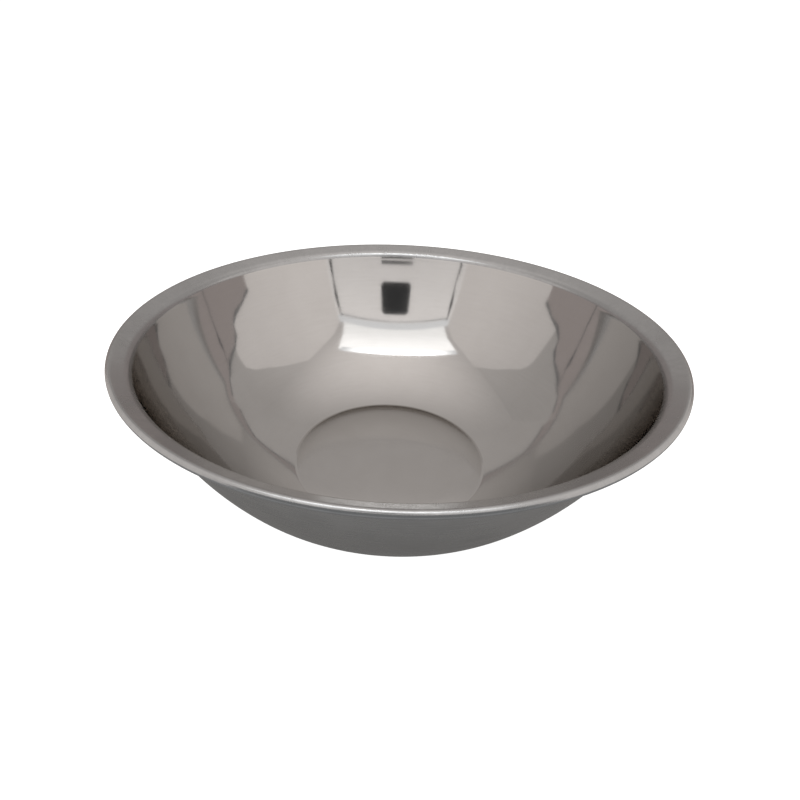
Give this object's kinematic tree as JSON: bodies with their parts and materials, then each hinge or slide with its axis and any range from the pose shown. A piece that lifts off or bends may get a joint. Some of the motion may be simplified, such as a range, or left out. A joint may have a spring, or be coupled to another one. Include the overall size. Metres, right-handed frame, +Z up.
{
  "type": "mixing bowl",
  "caption": "Round stainless steel mixing bowl with curved walls, a small domed floor, a flared lip and a rolled rim bead.",
  "frame": {"origin": "centre of the flat foot ring, on the plane that the bowl stands on", "axes": "+Z up, along the bowl's axis of revolution; X and Y are any two directions square to it"},
  "size_m": [0.4064, 0.4063, 0.13],
  "materials": {
    "stainless_steel": "bright spun stainless steel, mirror inside, satin on the floor"
  },
  "bodies": {
    "root": {"bowl_shell": "stainless_steel"}
  },
  "joints": []
}
